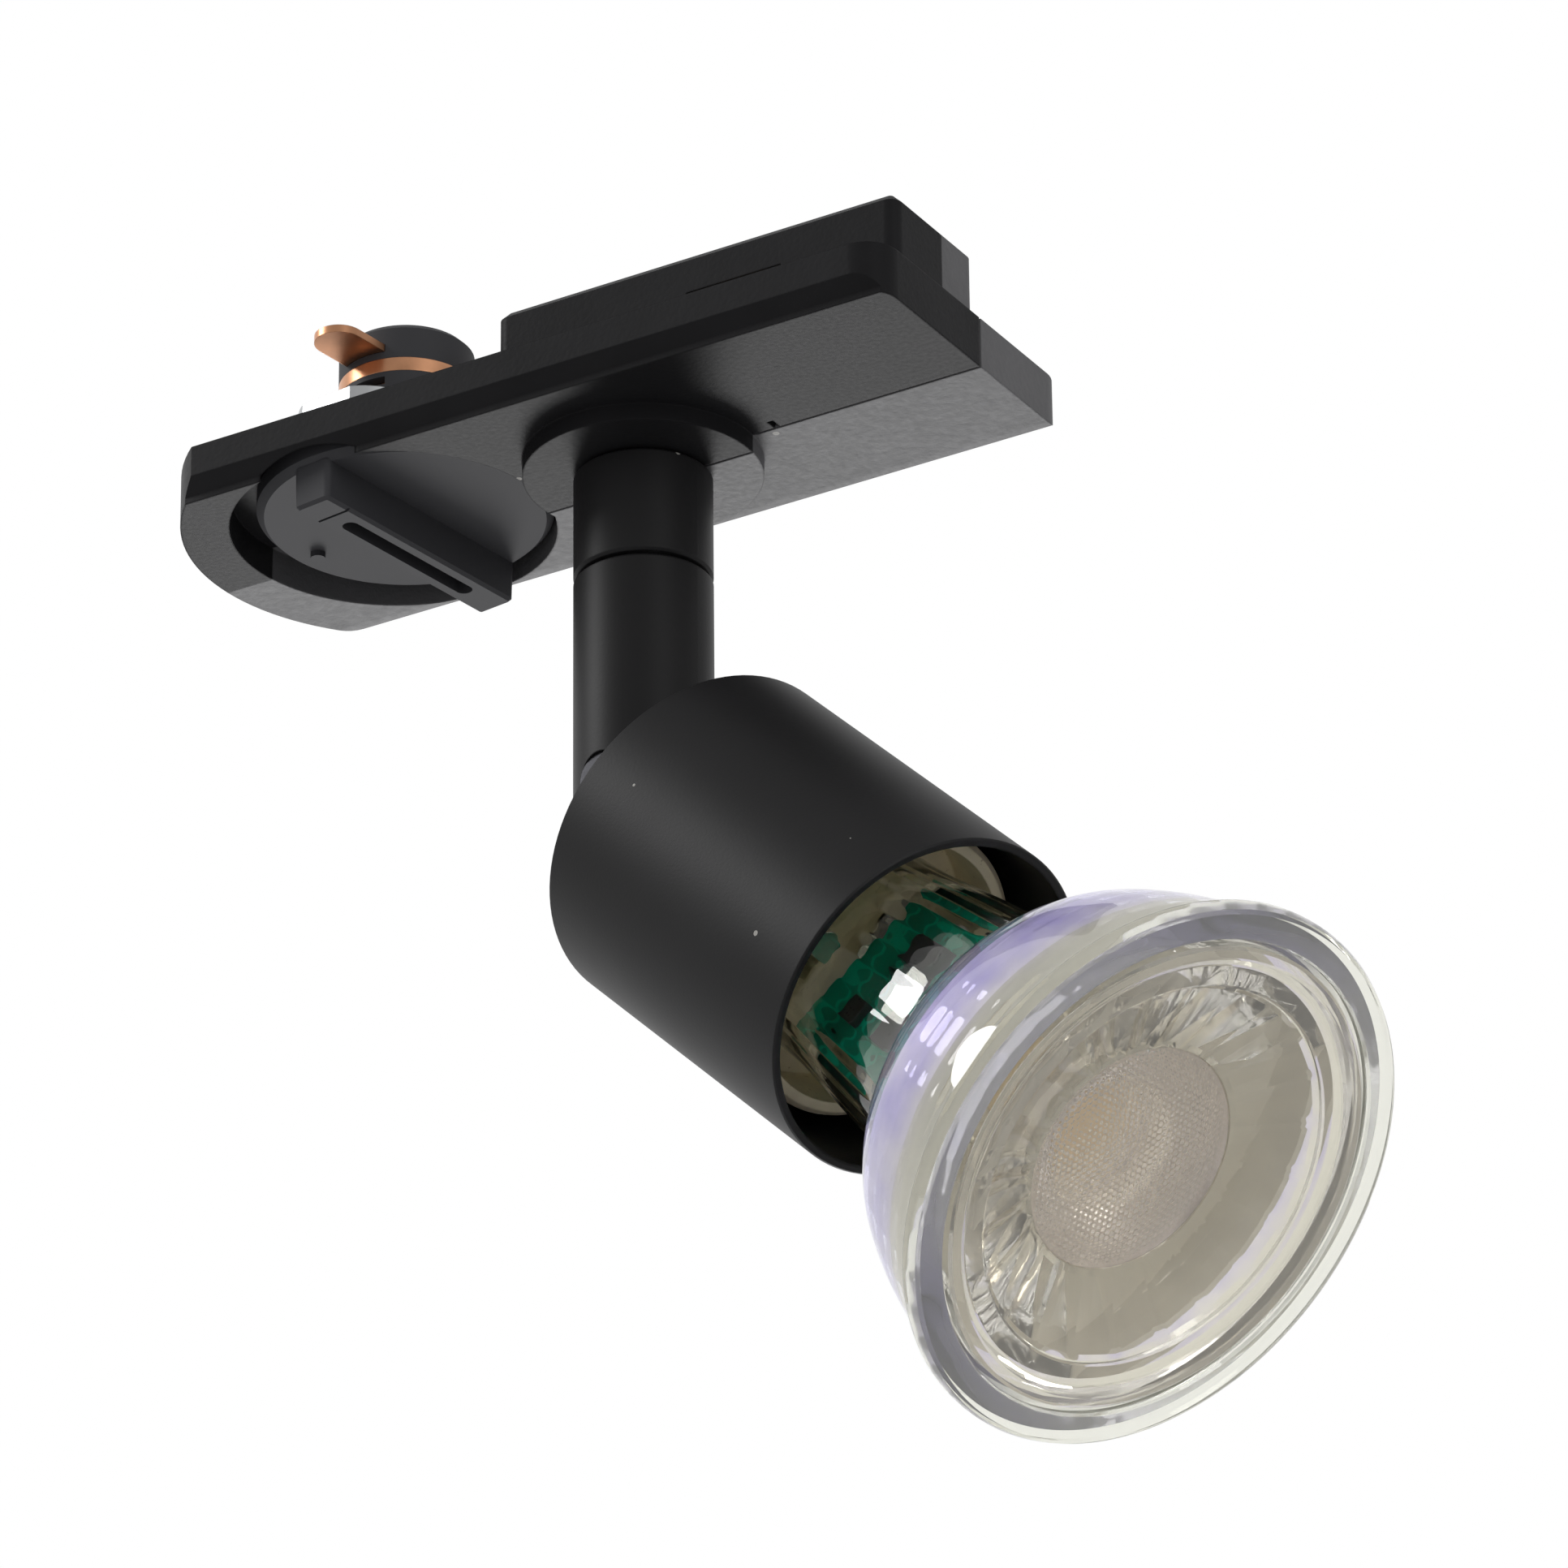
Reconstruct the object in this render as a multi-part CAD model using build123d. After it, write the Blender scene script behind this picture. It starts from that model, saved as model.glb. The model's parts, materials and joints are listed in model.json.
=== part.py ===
from build123d import *
import math
import os

# Spotlight for a single-circuit lighting track, with a socketed GU10 lamp.
# The origin is on the stem axis, level with the track's lower face.
# X runs along the track, Z is up. All sizes are in millimetres.

# ---- adaptor shells ----
BODY_X0 = -46.5           # rounded end round the lever
BODY_X1 = 34.8            # square end
BODY_HALF = 16.5          # half the adaptor's width
BODY_DROP = 5.0           # how far the shells hang below the track
END_R = 21.0              # radius of the rounded end
FAR_EDGE_R = 3.4          # large rounded edge on the far long side
PART_Y = 1.2              # plane on which the two shells meet
SHELL_T = 1.8
INSERT_X0 = -11.5         # block that goes up into the track slot
INSERT_X1 = 31.0
INSERT_HALF = 7.0
INSERT_H = 10.5
INSERT_T = 1.3
DISC_R = 11.0             # round boss under the shells, round the stem
DISC_T = 1.75
# ---- locking lever ----
KNOB_X = -25.2
KNOB_Y = -1.0
KNOB_R = 13.7
RECESS_X = -26.5          # the recess is set off a little towards the rounded end
RECESS_R = 15.1
KNOB_FACE = -4.3          # height of the knob's lower face
RECESS_TOP = -1.7
BAR_L = 26.4
BAR_W = 4.0
BAR_Z = -8.2              # underside of the lever bar
LEVER_ANGLE = 83.0        # bar, seen from above, from +X: across the track when locked
TURRET_R = 6.3
TURRET_TOP = 13.0
# ---- stem ----
PAN = -8.3                # the head's heading at rest, from +X
STEM_R = 6.35
BORE_R = 5.35
COLLAR_TOP = -7.0
COLLAR_BOTTOM = -17.4
TUBE_TOP = -17.75
NIPPLE_R = 4.9
NIPPLE_BORE = 3.2
PIVOT_Z = -39.3
# ---- head: local Z is the lamp's axis, measured from the tilt pivot ----
TILT = 46.3               # lamp axis from straight down
CUP_R = 16.0
CUP_T = 0.8
CUP_REAR = 8.6
CUP_MOUTH = 44.0
CHEEK_T = 1.6
CHEEK_GAP = 3.2           # channel for the leads between the two cheeks
EYE_R = 3.4
PIN_R = 1.5
BRACKET_Z = 18.6
HOLDER_Z0 = 20.2
HOLDER_R = 13.8
HOLDER_FRONT = 37.0
SEAT_Z = 31.0             # floor of the holder's recess
# ---- lamp ----
RIM_Z = 77.8
RIM_R = 25.0
GLASS_T = 1.1
PIN_PITCH = 10.0
LEAD_R = 0.65             # insulated lead
RUN = 0.05                # radial clearance of a running fit


def cyl(r, z0, z1, x=0.0, y=0.0):
    """Upright cylinder between two heights."""
    return Pos(x, y, (z0 + z1) / 2) * Cylinder(r, abs(z1 - z0))


def box(x0, x1, y0, y1, z0, z1):
    """Box between two corners."""
    centre = Pos((x0 + x1) / 2, (y0 + y1) / 2, (z0 + z1) / 2)
    return centre * Box(x1 - x0, y1 - y0, z1 - z0)


def lathe(points):
    """Solid of revolution about Z from (radius, height) corners."""
    outline = Polyline(*[(r, 0, z) for r, z in points], close=True)
    return revolve(make_face(outline), Axis.Z)


def rod_y(r, y0, y1, x=0.0, z=0.0):
    """Cylinder along Y."""
    return Pos(x, (y0 + y1) / 2, z) * Rot(90, 0, 0) * Cylinder(r, abs(y1 - y0))


def slab(sketch, z0, z1):
    """Flat piece of the given outline between two heights."""
    return Pos(0, 0, z0) * extrude(sketch, z1 - z0)


def arc_slot(radius, half_width, a0, a1):
    """Banana-shaped outline about the origin, with round ends."""
    ring = Circle(radius + half_width) - Circle(radius - half_width)
    reach = 3 * radius
    rim = [(reach * math.cos(math.radians(a)), reach * math.sin(math.radians(a)))
           for a in (a0, (a0 + a1) / 2, a1)]
    wedge = make_face(Polyline((0, 0), *rim, close=True))
    out = ring & wedge
    for a in (a0, a1):
        t = math.radians(a)
        out += Pos(radius * math.cos(t), radius * math.sin(t)) * Circle(half_width)
    return out


def lead(points, bends):
    """Insulated lead: straight runs joined by bends of the given radii."""
    path = FilletPolyline(*points, radius=bends)
    section = Plane(origin=path @ 0, z_dir=path % 0) * Circle(LEAD_R)
    return sweep(section, path=path)


def screw(r, length, head_r, head_h):
    """Pan-head screw with a cross recess. Its shank runs down from the head at z = 0."""
    body = cyl(r, -length, 0.05) + cyl(head_r, 0, head_h)
    for turn in (0, 90):
        cross = box(-0.65 * head_r, 0.65 * head_r, -0.16 * head_r, 0.16 * head_r, 0.35 * head_h, head_h + 1)
        body -= Rot(0, 0, turn) * cross
    return body


def solids_of(shape):
    """The separate solids of a shape as a list."""
    return list(shape.solids())


def write(name, shapes):
    """Write one named piece, or a group of like pieces, to its own file."""
    if not isinstance(shapes, list):
        shapes = [shapes]
    found = []
    for s in shapes:
        found += solids_of(s)
    whole = found[0] if len(found) == 1 else Compound(children=found)
    whole.label = name
    export_step(whole, f"parts/{name}.step")


os.makedirs("parts", exist_ok=True)
stem_frame = Rot(0, 0, PAN)
head_frame = stem_frame * Pos(0, 0, PIVOT_Z) * Rot(0, 180 - TILT, 0)
lever_frame = Pos(KNOB_X, KNOB_Y, 0) * Rot(0, 0, LEVER_ANGLE)


# ==== adaptor ====
def shell_outline(inset=0.0):
    """Plan of the adaptor: one end square with eased corners, one end round."""
    half = BODY_HALF - inset
    r = END_R - inset
    round_x = BODY_X0 + END_R
    bar = Pos((round_x + BODY_X1 - inset) / 2, 0) * Rectangle(BODY_X1 - inset - round_x, 2 * half)
    bar = fillet(bar.vertices().group_by(Axis.X)[-1], 3.2)
    cap = Pos(round_x, 0) * Circle(r)
    cap &= Pos(round_x - r / 2, 0) * Rectangle(r, 2 * half)
    return bar + cap


STEP_IN = 1.3             # bevel and small step along the near lower edge
STEP_UP = 0.65
BEVEL_Z = -3.05
body = slab(shell_outline(), -BODY_DROP, 0)
far_edge = box(BODY_X0 - 1, BODY_X1 + 1, BODY_HALF - FAR_EDGE_R, BODY_HALF + 1, -BODY_DROP - 1,
               -BODY_DROP + FAR_EDGE_R)
far_round = Pos((BODY_X0 + BODY_X1) / 2, BODY_HALF - FAR_EDGE_R, -BODY_DROP + FAR_EDGE_R)
far_round *= Rot(0, 90, 0) * Cylinder(FAR_EDGE_R, BODY_X1 - BODY_X0 + 4)
body -= far_edge - far_round
near_cut = make_face(Polyline(
    (0, -BODY_HALF - 1, -BODY_DROP - 1),
    (0, -BODY_HALF + STEP_IN, -BODY_DROP - 1),
    (0, -BODY_HALF + STEP_IN, -BODY_DROP + STEP_UP),
    (0, -BODY_HALF, BEVEL_Z),
    (0, -BODY_HALF - 1, BEVEL_Z),
    close=True))
body -= Pos(BODY_X0 - 2, 0, 0) * extrude(near_cut, BODY_X1 - BODY_X0 + 4, dir=(1, 0, 0))

insert = box(INSERT_X0, INSERT_X1, -INSERT_HALF, INSERT_HALF, -1, INSERT_H)
insert = fillet(insert.edges().filter_by(Axis.Z), 1.2)
insert = chamfer(insert.faces().sort_by(Axis.Z)[-1].edges().filter_by(Axis.X), 0.8)
body += insert
body += cyl(DISC_R, -BODY_DROP - DISC_T, -BODY_DROP)

# hollow inside: a low chamber in the flange and a tall one in the insert
FLOOR_Z = -BODY_DROP + SHELL_T
chamber = box(-9.4, BODY_X1 - SHELL_T, -BODY_HALF + 3.2, BODY_HALF - 3.2, FLOOR_Z, -1.4)
chamber += box(INSERT_X0 + INSERT_T, INSERT_X1 - INSERT_T, -INSERT_HALF + INSERT_T, INSERT_HALF - INSERT_T,
               FLOOR_Z, INSERT_H - INSERT_T)
body -= chamber
# seat for the lever and its turret
body -= cyl(RECESS_R, -BODY_DROP - 1, RECESS_TOP, RECESS_X, KNOB_Y)
body -= cyl(TURRET_R + RUN, RECESS_TOP - 1, 1, KNOB_X, KNOB_Y)
# hole for the nipple, and a stop rib for it inside
body -= cyl(NIPPLE_R + RUN, -BODY_DROP - DISC_T - 1, FLOOR_Z + 1)
body -= cyl(6.45, FLOOR_Z, 0.9)
body += box(6.7, 9.2, -0.6, 0.6, FLOOR_Z - 0.1, -1.3)
# openings for the wipers and the earth spring
WIPERS = {"live": (KNOB_Y - 2.4, 4.9), "neutral": (KNOB_Y + 2.4, 8.6)}    # sideways place and height
for y, z in WIPERS.values():
    body -= box(INSERT_X0 - 1, INSERT_X0 + INSERT_T + 1, y - 1.1, y + 1.1, z - 0.5, z + 0.5)
body -= box(9.0, 19.0, -INSERT_HALF - 1, -INSERT_HALF + INSERT_T + 1, 3.2, 6.4)
# small locating notch on the joint line, and a fine groove along it
body -= box(13.3, 13.9, -0.2, PART_Y + 0.02, -BODY_DROP - 1, -BODY_DROP + 0.5)
GROOVE_HALF = 0.13
GROOVE_DEEP = 0.22
body -= box(DISC_R + 0.2, BODY_X1 + 1, PART_Y - GROOVE_HALF, PART_Y + GROOVE_HALF, -BODY_DROP - 1,
            -BODY_DROP + GROOVE_DEEP)
body -= box(BODY_X1 - GROOVE_DEEP, BODY_X1 + 1, PART_Y - GROOVE_HALF, PART_Y + GROOVE_HALF, -BODY_DROP - 1, 1)
body -= box(-DISC_R - 1, DISC_R + 1, PART_Y - GROOVE_HALF, PART_Y + GROOVE_HALF, -BODY_DROP - DISC_T - 1,
            -BODY_DROP - DISC_T + GROOVE_DEEP)

SCREW_X = (5.0, 28.0)
SCREW_Z = 7.4
BOSS_R = 1.9
for x in SCREW_X:
    boss = rod_y(BOSS_R, -INSERT_HALF + 0.5, INSERT_HALF - 0.5, x, SCREW_Z)
    body += boss & box(INSERT_X0, INSERT_X1, -INSERT_HALF, INSERT_HALF, 0, INSERT_H)
    body -= rod_y(1.02, -INSERT_HALF + 1.6, INSERT_HALF + 1, x, SCREW_Z)
    body -= rod_y(2.05, INSERT_HALF - 1.5, INSERT_HALF + 1, x, SCREW_Z)

near_half = box(-80, 80, -40, PART_Y, -30, 40)
far_half = box(-80, 80, PART_Y, 40, -30, 40)
write("adaptor_near_shell", body & near_half)
write("adaptor_far_shell", body & far_half)

shell_screw = Rot(-90, 0, 0) * screw(1.0, 10.6, 1.9, 1.2)
write("shell_screws", [Pos(x, INSERT_HALF - 1.48, SCREW_Z) * shell_screw for x in SCREW_X])

# terminal block with clamp screws
block = box(13.0, 24.0, -4.6, 4.6, -3.1, 2.6)
for y in (-2.3, 2.3):
    block -= Pos(18.5, y, -0.9) * Rot(0, 90, 0) * Cylinder(0.85, 20)
    block -= cyl(1.25, -0.9, 3.0, 18.5, y)
block = chamfer(block.edges().filter_by(Axis.Z), 0.5)
write("terminal_block", block)
clamp = cyl(1.2, 0.1, 1.9) - box(-1.3, 1.3, -0.2, 0.2, 1.3, 2.2)
write("terminal_screws", [Pos(18.5, y, 0) * clamp for y in (-2.3, 2.3)])

# sprung wipers that press on the turret's two contact rings
WIPER_END = INSERT_X0 + 5.5
wipers = []
for y, z in WIPERS.values():
    foot = box(INSERT_X0 + 0.4, WIPER_END, y - 0.9, y + 0.9, z - 0.2, z + 0.2)
    nose = box(KNOB_X + TURRET_R + 0.4, INSERT_X0 + 0.5, y - 0.9, y + 0.9, z - 0.2, z + 0.2)
    wipers.append(foot + nose)
write("contact_wipers", wipers)

# earth spring on the near side of the insert
earth = box(9.4, 18.6, -INSERT_HALF + 0.35, -INSERT_HALF + 0.75, 3.4, 6.2)
earth += box(12.0, 16.0, -INSERT_HALF - 0.85, -INSERT_HALF + 0.7, 4.0, 5.6)
earth -= box(12.5, 15.5, -INSERT_HALF - 0.4, -INSERT_HALF + 1, 3.8, 5.8)
earth += box(9.4, 9.9, -INSERT_HALF + 0.4, -INSERT_HALF + 2.3, 3.4, 6.2)
earth += box(9.4, 9.9, -INSERT_HALF + 1.4, -INSERT_HALF + 2.3, FLOOR_Z + 0.1, 4.0)
write("earth_spring", earth)

# leads inside the adaptor: wiper to terminal, terminal back to the stem
LEAD_TOP = 2.0
for name, side in (("live_lead", -1), ("neutral_lead", 1)):
    y, z = WIPERS[name.split("_")[0]]
    first = lead([(WIPER_END + 0.5, y, z), (-2.0, side * 3.4, z - 1.4), (5.0, side * 4.2, 2.0),
                  (12.0, side * 2.3, -0.9), (14.6, side * 2.3, -0.9)], [2.5, 2.5, 2.5])
    second = lead([(22.6, side * 2.3, -0.9), (26.2, side * 2.3, -0.9), (26.2, side * 2.3, 4.0),
                   (14.0, side * 2.2, 4.0), (5.0, side * 1.4, 4.0), (0, side * 0.95, 4.0),
                   (0, side * 0.95, LEAD_TOP)], [1.8, 1.8, 3.0, 3.0, 1.3])
    write(name, [first, second])

# ==== lever: turns a quarter to lock ====
knob = cyl(KNOB_R, KNOB_FACE, RECESS_TOP - 0.35)
knob = chamfer(knob.edges().filter_by(GeomType.CIRCLE).sort_by(Axis.Z)[0], 0.7)
bar_outline = RectangleRounded(BAR_L, BAR_W, 0.5)
bar = Pos(0, 0, BAR_Z) * extrude(bar_outline, KNOB_FACE - BAR_Z + 0.2, taper=-1.5)
bar = chamfer(bar.faces().sort_by(Axis.Z)[0].edges(), 0.3)
bar -= Pos(0.4, 0, BAR_Z - 1) * extrude(SlotOverall(17.6, 1.6), 3.2)
bar -= box(-10.3, -10.0, -3, 3, BAR_Z - 1, BAR_Z + 0.25)
knob += bar
knob += Pos(0, 10.6, KNOB_FACE - 0.25) * Cylinder(0.7, 0.6)
knob += cyl(3.4, RECESS_TOP - 0.5, 1.2)
knob -= cyl(1.6, -3.4, 2)
write("locking_lever", lever_frame * knob)

turret = lathe([(0, -1.6), (TURRET_R, -1.6), (TURRET_R, TURRET_TOP - 0.6), (TURRET_R - 0.6, TURRET_TOP),
                (0, TURRET_TOP)])
turret -= cyl(3.45, -2, 1.3)
turret -= cyl(1.55, 0, 6.4)
CAM_Z0 = 2.3
CAM_Z1 = 3.9
cam_neck = slab(Circle(4.6), CAM_Z0 - 0.1, CAM_Z1 + 0.1)
turret -= slab(Circle(9), CAM_Z0, CAM_Z1) - cam_neck
blade_z = (6.6, 10.0)
for z in blade_z:
    turret -= box(-7, 7, -2.35, 2.35, z, z + 0.8)
rings = []
for _, z in WIPERS.values():
    groove = cyl(TURRET_R + 1, z - 0.7, z + 0.7) - cyl(TURRET_R - 0.8, z - 1, z + 1)
    turret -= groove
    rings.append(lever_frame * (cyl(TURRET_R, z - 0.68, z + 0.68) - cyl(TURRET_R - 0.78, z - 1, z + 1)))
write("lever_turret", lever_frame * turret)
write("contact_rings", rings)

cam = slab(SlotOverall(24.0, 12.2) & Rectangle(22.6, 12.2), CAM_Z0 + 0.02, CAM_Z1 - 0.02)
cam -= cyl(4.6, 0, 10)
write("locking_cam", lever_frame * cam)

for name, z, way in (("live_contact", blade_z[0], 1), ("neutral_contact", blade_z[1], -1)):
    blade = box(-5.0, 9.6, -2.3, 2.3, z + 0.02, z + 0.78)
    tip = Pos(9.6, 0, z + 0.4) * Cylinder(2.3, 0.76)
    blade = blade + tip
    write(name, lever_frame * Rot(0, 0, 0 if way > 0 else 180) * blade)

write("lever_screw", lever_frame * (cyl(1.5, -2.9, 6.2) + cyl(1.58, -3.3, -2.9)))

# ==== stem: pans about Z ====
collar = cyl(STEM_R, COLLAR_BOTTOM, COLLAR_TOP)
collar = chamfer(collar.edges().filter_by(GeomType.CIRCLE), 0.25)
collar -= cyl(NIPPLE_R - 0.4, COLLAR_BOTTOM - 1, COLLAR_TOP + 1)
write("swivel_collar", stem_frame * collar)

NIPPLE_TOP = 1.0
nipple = lathe([(NIPPLE_BORE, -23.0), (NIPPLE_R - 0.42, -23.0), (NIPPLE_R - 0.42, COLLAR_TOP),
                (NIPPLE_R, COLLAR_TOP), (NIPPLE_R, -2.0), (NIPPLE_R - 0.5, -2.0),
                (NIPPLE_R - 0.5, NIPPLE_TOP), (NIPPLE_BORE, NIPPLE_TOP)])
write("threaded_nipple", stem_frame * nipple)
washer = cyl(6.4, FLOOR_Z + 0.1, FLOOR_Z + 0.7)
washer += box(3.0, 9.35, -INSERT_HALF + 1.4, -INSERT_HALF + 2.3, FLOOR_Z + 0.1, FLOOR_Z + 0.7)
washer -= cyl(NIPPLE_R + RUN, -8, 2)
write("swivel_washer", washer)
nut = slab(RegularPolygon(6.2, 6), FLOOR_Z + 1.25, 0.6) - cyl(NIPPLE_R - 0.48, -8, 3)
write("nipple_nut", stem_frame * nut)
stop_tab = cyl(6.4, FLOOR_Z + 0.75, FLOOR_Z + 1.2) - cyl(NIPPLE_R + 0.02, -8, 2)
stop_tab += box(-7.4, -6.2, -0.8, 0.8, FLOOR_Z + 0.75, FLOOR_Z + 1.2)
write("stop_washer", stop_tab)

SLOT_HALF = CHEEK_GAP / 2 + CHEEK_T + 0.35
tube = cyl(STEM_R, PIVOT_Z, TUBE_TOP)
tube = chamfer(tube.edges().filter_by(GeomType.CIRCLE).sort_by(Axis.Z)[-1], 0.25)
tube += Pos(0, 0, PIVOT_Z) * Sphere(STEM_R)
tube -= cyl(BORE_R, PIVOT_Z - 1.2, -23.4)
tube -= cyl(NIPPLE_R - 0.4, -24, TUBE_TOP + 1)
tube -= box(-1.2 * EYE_R, 10, -SLOT_HALF, SLOT_HALF, PIVOT_Z - 10, PIVOT_Z - 0.01)
tube -= box(-0.01, 10, -SLOT_HALF, SLOT_HALF, PIVOT_Z - 10, PIVOT_Z + EYE_R + 0.6)
tube -= rod_y(EYE_R + 0.6, -SLOT_HALF, SLOT_HALF, 0, PIVOT_Z)
for side in (-1, 1):
    tube -= rod_y(PIN_R, side * SLOT_HALF * 0.9, side * 8, 0, PIVOT_Z)
    tube -= rod_y(2.35, side * 5.45, side * 8, 0, PIVOT_Z)
write("stem_tube", stem_frame * tube)

pivots = []
for side in (-1, 1):
    one = rod_y(PIN_R, side * (CHEEK_GAP / 2 + 0.1), side * 5.5, 0, PIVOT_Z)
    one += rod_y(2.3, side * 5.46, side * 6.1, 0, PIVOT_Z)
    one -= box(-1.6, 1.6, -0.3, 0.3, -0.3, 0.3).moved(Location((0, side * 6.15, PIVOT_Z)))
    pivots.append(one)
write("pivot_screws", [stem_frame * p for p in pivots])

friction = []
for side in (-1, 1):
    y0 = CHEEK_GAP / 2 + CHEEK_T + 0.04
    ring = rod_y(2.9, side * y0, side * (SLOT_HALF - 0.02), 0, PIVOT_Z)
    ring -= rod_y(PIN_R, -9, 9, 0, PIVOT_Z)
    friction.append(stem_frame * ring)
write("friction_washers", friction)

STEM_LEAD_END = PIVOT_Z + 1.0
for name, y in (("stem_live_lead", -1), ("stem_neutral_lead", 1)):
    points = [(0, y * 0.95, LEAD_TOP - 0.4), (0, y * 0.95, -8), (0.7, y * 1.6, -20), (-0.8, y * 1.3, -29),
              (0, y * 0.85, PIVOT_Z + 6), (0, y * 0.85, STEM_LEAD_END)]
    write(name, stem_frame * lead(points, [5.0, 5.0, 5.0, 5.0]))

# ==== head: tilts about the pivot screws ====
lug = []
for side in (-1, 1):
    y_in = side * CHEEK_GAP / 2
    y_out = side * (CHEEK_GAP / 2 + CHEEK_T)
    cheek = rod_y(EYE_R, y_in, y_out)
    cheek += box(-EYE_R, EYE_R, min(y_in, y_out), max(y_in, y_out), 0, CUP_REAR - 1.2)
    cheek -= rod_y(PIN_R + RUN, -9, 9)
    lug.append(cheek)
base = cyl(6.0, CUP_REAR - 1.5, CUP_REAR)
base -= cyl(1.55, 0, 20)
for x in (-4.6, 4.6):
    base -= cyl(0.82, 0, 20, x)
knuckle = lug[0] + lug[1] + base
write("hinge_knuckle", head_frame * knuckle)
write("knuckle_screws",
      [head_frame * Pos(x, 0, CUP_REAR + CUP_T + 0.02) * screw(0.8, 2.3, 1.4, 0.8) for x in (-4.6, 4.6)])

CUP_BORE = CUP_R - CUP_T
cup = lathe([(0, CUP_REAR), (CUP_R - 0.5, CUP_REAR), (CUP_R, CUP_REAR + 0.5), (CUP_R, CUP_MOUTH - 0.15),
             (CUP_R - 0.15, CUP_MOUTH), (CUP_BORE + 0.15, CUP_MOUTH), (CUP_BORE, CUP_MOUTH - 0.15),
             (CUP_BORE, CUP_REAR + CUP_T + 0.6), (CUP_BORE - 0.6, CUP_REAR + CUP_T), (0, CUP_REAR + CUP_T)])
cup -= cyl(1.9, 0, 20)
for x in (-4.6, 4.6):
    cup -= cyl(0.82, 0, 20, x)
write("lamp_cup", head_frame * cup)

# strap bracket: legs welded to the cup's floor carry the lampholder
LEG_X = 11.0
HOLDER_SCREW_X = 8.0
strap = box(-LEG_X - 0.5, LEG_X + 0.5, -4.0, 4.0, BRACKET_Z, BRACKET_Z + 1.0)
for side in (-1, 1):
    x = side * LEG_X
    strap += box(x - 0.5, x + 0.5, -4.0, 4.0, CUP_REAR + CUP_T + 0.02, BRACKET_Z + 0.5)
    foot_x = side * (LEG_X - 1.6)
    strap += box(foot_x - 2.0, foot_x + 2.0, -4.0, 4.0, CUP_REAR + CUP_T + 0.02, CUP_REAR + CUP_T + 1.0)
strap -= cyl(3.0, BRACKET_Z - 1, BRACKET_Z + 2)
for y in (-1, 1):
    strap -= cyl(1.05, BRACKET_Z - 1, BRACKET_Z + 2, y * HOLDER_SCREW_X, 0)
for side in (-1, 1):
    strap -= cyl(0.85, 0, 12, side * 8.8, 2.2)
write("holder_bracket", head_frame * strap)
holder_screw = Pos(0, 0, BRACKET_Z - 0.06) * Rot(180, 0, 0) * screw(1.0, 5.6, 1.8, 1.1)
write("holder_screws", [head_frame * Pos(side * HOLDER_SCREW_X, 0, 0) * holder_screw for side in (-1, 1)])

# ceramic lampholder with a raised rim, two keyhole slots and pockets for the contacts
TWIST = 25.0              # lamp turn between locked and released
PIN_TURNS = (90, 270)     # the lamp's two pins, about its axis
PIN_NECK = 1.5
PIN_HEAD = 2.45
LIP = 2.4                 # thickness of the floor that holds the pin heads back
holder = cyl(HOLDER_R, HOLDER_Z0, HOLDER_FRONT)
holder = chamfer(holder.edges().filter_by(GeomType.CIRCLE).sort_by(Axis.Z)[-1], 0.5)
holder -= cyl(12.4, SEAT_Z, HOLDER_FRONT + 1)
for half_turn in PIN_TURNS:
    keyhole = arc_slot(PIN_PITCH / 2, PIN_NECK + 0.25, half_turn, half_turn + TWIST)
    entry = math.radians(half_turn + TWIST)
    keyhole += Pos(5 * math.cos(entry), 5 * math.sin(entry)) * Circle(PIN_HEAD + 0.3)
    holder -= slab(keyhole, SEAT_Z - LIP - 0.5, SEAT_Z + 1)
    pocket = arc_slot(PIN_PITCH / 2, PIN_HEAD + 0.35, half_turn - 4, half_turn + TWIST)
    holder -= slab(pocket, SEAT_Z - 7.6, SEAT_Z - LIP)
    lead_hole = math.radians(half_turn + 12)
    holder -= cyl(0.95, HOLDER_Z0 - 1, SEAT_Z - 7, 5 * math.cos(lead_hole), 5 * math.sin(lead_hole))
for side in (-1, 1):
    holder -= cyl(1.02, HOLDER_Z0 - 1, BRACKET_Z + 6.2, side * HOLDER_SCREW_X, 0)
write("lampholder", head_frame * holder)

clips = []
for half_turn in PIN_TURNS:
    strip = arc_slot(PIN_PITCH / 2, 1.3, half_turn - 2, half_turn + TWIST)
    clips.append(head_frame * slab(strip, SEAT_Z - 7.5, SEAT_Z - 7.0))
write("holder_contacts", clips)

for name, side in (("head_live_lead", -1), ("head_neutral_lead", 1)):
    a = math.radians(90 * side + 12)
    x_end = PIN_PITCH / 2 * math.cos(a)
    y_end = PIN_PITCH / 2 * math.sin(a)
    points = [(0, side * 0.85, 1.0), (0, side * 0.85, CUP_REAR + 1.2), (x_end, y_end, BRACKET_Z - 1.2),
              (x_end, y_end, SEAT_Z - 7.7)]
    write(name, head_frame * lead(points, [2.6, 2.6]))

# ==== lamp: twists a little to release ====
NECK = [(10.2, SEAT_Z + 0.15), (10.4, 37.0), (11.6, 46.0), (12.7, 54.5)]
BOWL = [(13.6, 56.6), (15.6, 58.4), (18.2, 60.6), (20.3, 63.6), (22.1, 68.0), (23.4, 72.6), (24.0, 75.6)]
RIM = [(RIM_R - 0.3, 75.6), (RIM_R, 75.9), (RIM_R, RIM_Z - 0.5), (RIM_R - 0.5, RIM_Z)]
LEDGE_Z = RIM_Z - 2.6
outer = NECK + BOWL + RIM
BOWL_INSIDE = [(12.5, 56.4), (14.5, 58.2), (16.9, 60.4), (18.7, 63.4), (20.1, 67.8), (20.9, 72.4),
               (21.0, LEDGE_Z)]
inner = [(22.0, RIM_Z), (21.7, LEDGE_Z)]
inner += list(reversed(BOWL_INSIDE))
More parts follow.
